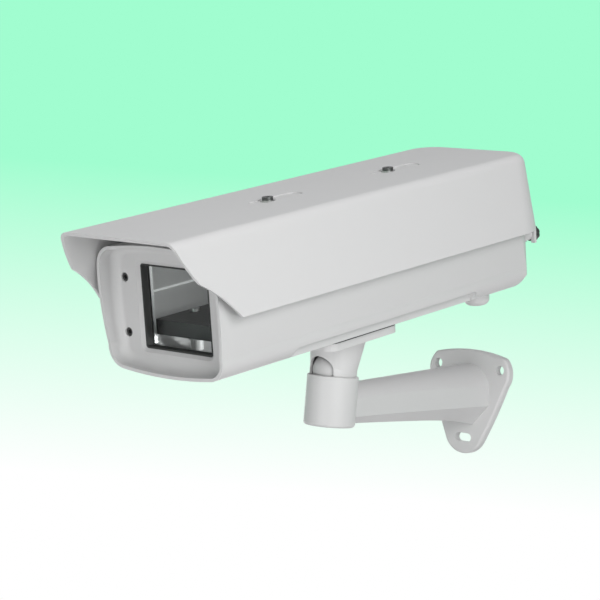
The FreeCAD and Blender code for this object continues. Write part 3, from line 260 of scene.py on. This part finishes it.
RUBBER = rubber()
SILICONE = silicone()
# This lip material shines by its own emission: painted light that brightens the seal lip.
PAINTED_GLOW_LIP = silicone("clear_silicone_painted_glow", level=0.80, painted_glow=0.30)
BLACK_PLASTIC = black_plastic()
GLASS = window_glass()
dress(RUBBER, "window_gasket", "plug_seals", "cable_grommet", "base_pad")
dress(BLACK_PLASTIC, "closing_knob", "slide_screw")
dress(SILICONE, "cover_seal")
dress(GLASS, "window_glass")


# %% [markdown]
# ## Metals
# Screws and washers are plain steel, turned on a lathe, so fine lines run round them.
# The camera tray is black anodised sheet, and the posts and the clamp are bare metal.

# %% Steel, bare aluminium and black anodised sheet
LATHE_LINE = 0.00001
STREAKS = (1.0, 12.0, 12.0)


def metal(name, level, roughness, warmth=0.0, metallic=1.0):
    finish = Finish(name)
    streak = finish.noise(per_metre=90.0, detail=3.0, roughness=0.6, stretch=STREAKS)
    colour = finish.blend(streak, grey(level * 0.85, warmth), grey(level * 1.1, warmth))
    finish.bump(finish.noise(per_metre=2200.0), LATHE_LINE)
    finish.set(Base_Color=colour, Roughness=(streak - 0.5) * 0.15 + roughness)
    finish.shader.inputs["Metallic"].default_value = metallic
    return finish.material


STEEL = metal("steel", level=0.52, roughness=0.35, warmth=0.01)
BARE_ALUMINIUM = metal("bare_aluminium", level=0.68, roughness=0.42)
BLACK_SHEET = metal("black_sheet", level=0.012, roughness=0.5, warmth=-0.05, metallic=0.0)
DARK_STEEL = metal("dark_steel", level=0.12, roughness=0.4)
dress(STEEL, "shield_washers", "hinge_pins", "tray_screws", "camera_screw", "base_screws", "base_washers",
      "tilt_pins", "swivel_washer", "swivel_nut", "knob_stud", "plug_nuts")
dress(DARK_STEEL, "shield_screws", "bezel_screws")
dress(BARE_ALUMINIUM, "window_clamp", "shield_posts")
dress(BLACK_SHEET, "camera_tray", "camera_slide")


# %% [markdown]
# ## Small turned parts
# The threads, the grips and the lips of the seal are modelled here. All of them are
# written in the housing's own upright pose, in millimetres, and one matrix carries them
# to the pose in which it hangs.

# %% From the housing's own pose to its place
PAN = math.radians(-3.5)
NOSE_DOWN = math.radians(12.31)
PIVOT = Vector((0.0, -203.8, -1.5))
PIVOT_IN_HOUSING = Vector((0.0, 232.9, -153.2))
TURN = Matrix.Rotation(PAN, 4, "Z") @ Matrix.Rotation(NOSE_DOWN, 4, "X")
HOUSING = Matrix.Scale(MM, 4) @ Matrix.Translation(PIVOT) @ TURN @ Matrix.Translation(-PIVOT_IN_HOUSING)
SHARP = math.radians(35.0)
ABOUT_Y = Matrix.Rotation(math.radians(-90.0), 4, "X")


def hand_over(name, work, material, body, replaced=()):
    """Turns a finished bmesh into a piece that rides on its body."""
    bmesh.ops.recalc_face_normals(work, faces=work.faces)
    bmesh.ops.transform(work, matrix=HOUSING, verts=work.verts)
    mesh = bpy.data.meshes.new(name)
    work.to_mesh(mesh)
    work.free()
    mesh.shade_smooth()
    mesh.set_sharp_from_angle(angle=SHARP)
    mesh.materials.append(material)
    piece = bpy.data.objects.new(name, mesh)
    bpy.context.scene.collection.objects.link(piece)
    if replaced:
        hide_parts(*replaced)
    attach(piece, body)
    print(name, "faces", len(mesh.polygons))


def turned(work, profile, place, radius_at=None, steps=64):
    """A closed lathe form: profile is a list of radius and height, radius_at its fluting."""
    rings = []
    for radius, level in profile:
        ring = []
        for step in range(steps):
            angle = math.tau * step / steps
            reach = radius * (radius_at(angle) if radius_at else 1.0)
            spot = Vector((reach * math.cos(angle), reach * math.sin(angle), level))
            ring.append(work.verts.new(place @ spot))
        rings.append(ring)
    for lower, upper in zip(rings, rings[1:]):
        for step in range(steps):
            after = (step + 1) % steps
            work.faces.new((lower[step], lower[after], upper[after], upper[step]))
    work.faces.new(rings[0][::-1])
    work.faces.new(rings[-1])


print("housing pivot at", [round(v, 4) for v in HOUSING @ PIVOT_IN_HOUSING])

# %% [markdown]
# The closing knob is moulded with eight flutes that give fingers a grip, and a small
# dish in its face shows where the moulding was gated. The flutes are cosine waves on
# the radius, which a lathe profile then carries from back to front.

# %% The closing knob
KNOB_PLACE = Matrix.Translation((54.0, 435.5, -71.0)) @ ABOUT_Y
KNOB_PROFILE = ((5.6, 0.0), (6.6, 0.35), (7.0, 0.9), (7.0, 4.6), (6.8, 5.3), (6.2, 5.9), (5.4, 6.2),
                (3.6, 6.3), (3.2, 6.1), (2.6, 5.7), (1.2, 5.5))
FLUTES = 8
FLUTE_SHARE = 0.07


def fluting(angle):
    return 1.0 - FLUTE_SHARE * (0.5 + 0.5 * math.cos(FLUTES * angle)) ** 2


work = bmesh.new()
turned(work, KNOB_PROFILE, KNOB_PLACE, fluting, steps=FLUTES * 12)
hand_over("fluted_knob", work, BLACK_PLASTIC, "closing_knob", ["closing_knob"])

# %% [markdown]
# The slide is held by a hand screw with a straight knurl, so that it can be slackened
# without a tool. The camera's own screw has the coarse thread of a tripod socket. Its
# ridge is a small triangle that is spun round the shank while it climbs.

# %% The hand screw and the camera screw
SLIDE_TOP = -76.2
THUMB_PLACE = Matrix.Translation((0.0, 218.0, SLIDE_TOP))
THUMB_PROFILE = ((1.98, -6.9), (1.98, 0.02), (5.4, 0.03), (5.95, 0.5), (5.95, 5.9), (5.4, 6.5), (4.4, 6.9),
                 (2.6, 6.95), (2.4, 6.5), (0.8, 6.4))
KNURLS = 30
KNURL_SHARE = 0.035


def knurling(angle):
    return 1.0 - KNURL_SHARE * (0.5 + 0.5 * math.cos(KNURLS * angle))


work = bmesh.new()
turned(work, THUMB_PROFILE, THUMB_PLACE, knurling, steps=KNURLS * 6)
hand_over("knurled_screw", work, BLACK_PLASTIC, "slide_screw", ["slide_screw"])

SCREW_PLACE = Matrix.Translation((0.0, 189.0, 0.0))
SEAT = -83.8
HEAD_FACE = SEAT - 3.0
HEAD_RADIUS = 5.5
SHANK_RADIUS = 2.45
THREAD_START = -75.9
THREAD_END = -69.9
ROOT_RADIUS = 2.6
CREST_RADIUS = 3.17
PITCH = 1.27
RUN_OUT = 0.3
RIDGE_STEPS = 24
SCREW_PROFILE = ((2.2, HEAD_FACE + 0.8), (2.4, HEAD_FACE), (4.9, HEAD_FACE), (HEAD_RADIUS, HEAD_FACE + 0.5),
                 (HEAD_RADIUS, SEAT), (SHANK_RADIUS, SEAT), (SHANK_RADIUS, THREAD_START),
                 (ROOT_RADIUS, THREAD_START + 0.2), (ROOT_RADIUS, THREAD_END - 0.5), (2.1, THREAD_END))
work = bmesh.new()
turned(work, SCREW_PROFILE, SCREW_PLACE, steps=48)
turns = (THREAD_END - THREAD_START - PITCH - RUN_OUT) / PITCH
corners = [work.verts.new(SCREW_PLACE @ Vector((radius, 0.0, THREAD_START + level)))
           for radius, level in ((ROOT_RADIUS - 0.1, 0.15), (CREST_RADIUS, 0.5 * PITCH),
                                 (ROOT_RADIUS - 0.1, PITCH - 0.05))]
section = work.faces.new(corners)
steps = int(turns * RIDGE_STEPS)
climb = turns * PITCH / steps
bmesh.ops.spin(work, geom=[section] + list(section.edges) + corners, cent=SCREW_PLACE.translation,
               axis=(0.0, 0.0, 1.0), dvec=(0.0, 0.0, climb), angle=math.tau * turns, steps=steps)
hand_over("threaded_camera_screw", work, STEEL, "camera_slide", ["camera_screw"])

# %% [markdown]
# The silicone cord between the two castings has a thin lip, which shows inside as a
# pale line along the wall; the line is pale from painted light, an emission on the lip.
# Rays from the middle of the housing find the wall, and the lip is laid on the points
# where they meet it.

# %% The lip of the seal
SEAM = -65.5
BELOW_SEAM = 0.6
LIP_RADIUS = 0.9
LIP_START = 72.0
LIP_STEP = 8.0
LIP_COUNT = 43
LIP_STATIONS = [LIP_START + LIP_STEP * step for step in range(LIP_COUNT)]
RAY_REACH = 0.09
walls = [nodes["housing_tray"], nodes["cover"]]


def wall_point(y, z, side):
    """The nearest point of a casting's inner wall, in the housing's own pose."""
    start = HOUSING @ Vector((0.0, y, z))
    way = (HOUSING.to_3x3() @ Vector((side, 0.0, 0.0))).normalized()
    found = []
    for wall in walls:
        hit, place, normal, index = wall.ray_cast(start, way, distance=RAY_REACH)
        if hit:
            found.append(((place - start).length, place))
    return HOUSING.inverted() @ min(found)[1] if found else None


def lip_point(y, side):
    """Where the lip lies: against the wall, on the lower casting's rim."""
    wall = wall_point(y, SEAM - BELOW_SEAM, side)
    return Vector((wall.x - side * LIP_RADIUS / 2, y, SEAM + LIP_RADIUS)) if wall else None


def bead(work, points, radius, sides=8):
    """A round lip along points that run from front to rear."""
    rings = []
    for point in points:
        ring = []
        for step in range(sides):
            angle = math.tau * step / sides
            offset = Vector((radius * math.cos(angle), 0.0, radius * math.sin(angle)))
            ring.append(work.verts.new(point + offset))
        rings.append(ring)
    for first, second in zip(rings, rings[1:]):
        for step in range(sides):
            after = (step + 1) % sides
            work.faces.new((first[step], first[after], second[after], second[step]))
    work.faces.new(rings[0])
    work.faces.new(rings[-1][::-1])


for side, name in ((-1.0, "far_seal_lip"), (1.0, "near_seal_lip")):
    points = [lip_point(y, side) for y in LIP_STATIONS]
    points = [point for point in points if point is not None]
    work = bmesh.new()
    bead(work, points, LIP_RADIUS)
    # The lips take the emitting material, so their pale line is painted light.
    hand_over(name, work, PAINTED_GLOW_LIP, "housing")


# %% [markdown]
# ## The photographer's place
# A long lens from well to the front and near the bracket's level gives this view. The
# camera leans a little, as the horizon of the picture does. Its place is worked out
# from an aim point, a distance and three angles, so each can be read by itself.

# %% Camera
AZIMUTH = math.radians(38.05)
ELEVATION = math.radians(2.78)
LEAN = math.radians(4.60)
AIM = Vector((-12.31, -239.93, 55.17)) * MM
DISTANCE = 2007.21 * MM
LENS = 148.52
SENSOR_WIDTH = 36.0

towards = Vector((-math.sin(AZIMUTH) * math.cos(ELEVATION), math.cos(AZIMUTH) * math.cos(ELEVATION),
                  -math.sin(ELEVATION)))
camera_data = bpy.data.cameras.new("camera")
camera_data.lens = LENS
camera_data.sensor_width = SENSOR_WIDTH
camera = bpy.data.objects.new("camera", camera_data)
bpy.context.scene.collection.objects.link(camera)
level_view = towards.to_track_quat("-Z", "Y").to_matrix()
camera.matrix_world = Matrix.Translation(AIM - towards * DISTANCE) @ (
    level_view @ Matrix.Rotation(LEAN, 3, "Z")).to_4x4()
bpy.context.scene.camera = camera
print("camera at", [round(v, 3) for v in camera.location])


# %% [markdown]
# ## Studio
# The housing hangs in front of a plain paper backdrop that runs from a soft mint green
# down to white. The world paints it by the height of the line of sight, for what the
# camera sees directly, in gloss or through the glass. Above the picture the mint gives
# way to a grey ceiling, or the roof would mirror green. All other light from the world
# is a neutral grey, so no green falls on the paint.

# %% Backdrop
MINT = (0.356, 0.982, 0.631, 1.0)
WHITE = (1.0, 1.0, 1.0, 1.0)
CEILING = (0.52, 0.53, 0.54, 1.0)
BANDS = ((-0.125, WHITE), (0.0, MINT), (0.08, MINT), (0.16, CEILING))
AMBIENT = (0.86, 0.87, 0.88, 1.0)
AMBIENT_STRENGTH = 0.33

world = bpy.data.worlds.new("studio")
bpy.context.scene.world = world
world.use_nodes = True
sky = world.node_tree
ambient = sky.nodes["Background"]
ambient.inputs["Color"].default_value = AMBIENT
ambient.inputs["Strength"].default_value = AMBIENT_STRENGTH
paper = sky.nodes.new("ShaderNodeBackground")
ramp = sky.nodes.new("ShaderNodeValToRGB")
lowest = BANDS[0][0]
reach = BANDS[-1][0] - lowest
while len(ramp.color_ramp.elements) < len(BANDS):
    ramp.color_ramp.elements.new(1.0)
for element, (level, colour) in zip(ramp.color_ramp.elements, BANDS):
    element.position = (level - lowest) / reach
    element.color = colour
direction = sky.nodes.new("ShaderNodeSeparateXYZ")
sky.links.new(sky.nodes.new("ShaderNodeTexCoord").outputs["Generated"], direction.inputs[0])
height = Wire(sky, direction.outputs["Z"])
share = (height - lowest) * (1.0 / reach)
sky.links.new(share.socket, ramp.inputs["Fac"])
sky.links.new(ramp.outputs["Color"], paper.inputs["Color"])
rays = sky.nodes.new("ShaderNodeLightPath")
seen = Wire(sky, rays.outputs["Is Camera Ray"])
for kind in ("Is Glossy Ray", "Is Transmission Ray"):
    seen = seen.maths("MAXIMUM", Wire(sky, rays.outputs[kind]))
backdrop = sky.nodes.new("ShaderNodeMixShader")
sky.links.new(seen.socket, backdrop.inputs["Fac"])
sky.links.new(ambient.outputs[0], backdrop.inputs[1])
sky.links.new(paper.outputs[0], backdrop.inputs[2])
sky.links.new(backdrop.outputs[0], sky.nodes["World Output"].inputs["Surface"])
print("backdrop bands at", [level for level, colour in BANDS])

# %% [markdown]
# The key is a large soft box on the right, near enough that the far end of the long
# side falls off in tone, and low enough that the visor's near side shades the inside of
# its far one. A small box in front opens the recess of the window, one above lights the
# roof, and one behind keeps the hidden sides from going flat. Two tiny lamps inside,
# which move with the housing, light the wall and the floor behind the glass. The floor
# is pale card below the picture's edge, and returns some light to the underside.

# %% Lamps and floor
CENTRE = Vector((0.0, -0.30, 0.06))
# name, place from the centre, size in metres, watts
SOFT_BOXES = (
    ("key", (1.20, -0.50, 0.34), 0.9, 13.5),
    ("front_fill", (0.00, -1.15, -0.36), 0.5, 3.4),
    ("roof_light", (0.10, -0.50, 1.40), 1.0, 9.0),
    ("back_fill", (-0.90, 1.10, -0.25), 1.0, 5.0),
)
# name, place and aim in the housing's own pose, size in metres, watts
INNER_LAMPS = (
    ("inner_light", (50.0, 108.0, -58.0), (-60.0, 108.0, -70.0), 0.045, 0.022),
    ("under_tray_light", (50.0, 152.0, -94.5), (-60.0, 96.0, -112.0), 0.010, 0.12),
)


def soft_box(name, place, target, size, power):
    data = bpy.data.lights.new(name, "AREA")
    data.shape = "SQUARE"
    data.size = size
    data.energy = power
    lamp = bpy.data.objects.new(name, data)
    bpy.context.scene.collection.objects.link(lamp)
    lamp.location = place
    lamp.rotation_euler = (Vector(target) - Vector(place)).to_track_quat("-Z", "Y").to_euler()
    return lamp


for name, offset, size, power in SOFT_BOXES:
    soft_box(name, CENTRE + Vector(offset), CENTRE, size, power)
for name, near, far, size, power in INNER_LAMPS:
    lamp = soft_box(name, HOUSING @ Vector(near), HOUSING @ Vector(far), size, power)
    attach(lamp, "housing")

FLOOR_LEVEL = -0.42
FLOOR_HALF = 0.9
floor_mesh = bpy.data.meshes.new("floor")
card = bmesh.new()
bmesh.ops.create_grid(card, x_segments=1, y_segments=1, size=FLOOR_HALF,
                      matrix=Matrix.Translation((0.0, CENTRE.y, FLOOR_LEVEL)))
card.to_mesh(floor_mesh)
card.free()
floor = bpy.data.objects.new("floor", floor_mesh)
bpy.context.scene.collection.objects.link(floor)
card_finish = Finish("pale_card")
fibre = card_finish.noise(per_metre=60.0, detail=4.0, roughness=0.6)
card_finish.set(Base_Color=card_finish.blend(fibre, grey(0.78), grey(0.82)), Roughness=fibre * 0.1 + 0.8)
floor.data.materials.append(card_finish.material)
print("lamps", len(SOFT_BOXES) + len(INNER_LAMPS), "floor at", FLOOR_LEVEL)

# %% Close the lesson
scene = bpy.context.scene
scene.view_settings.view_transform = "Standard"
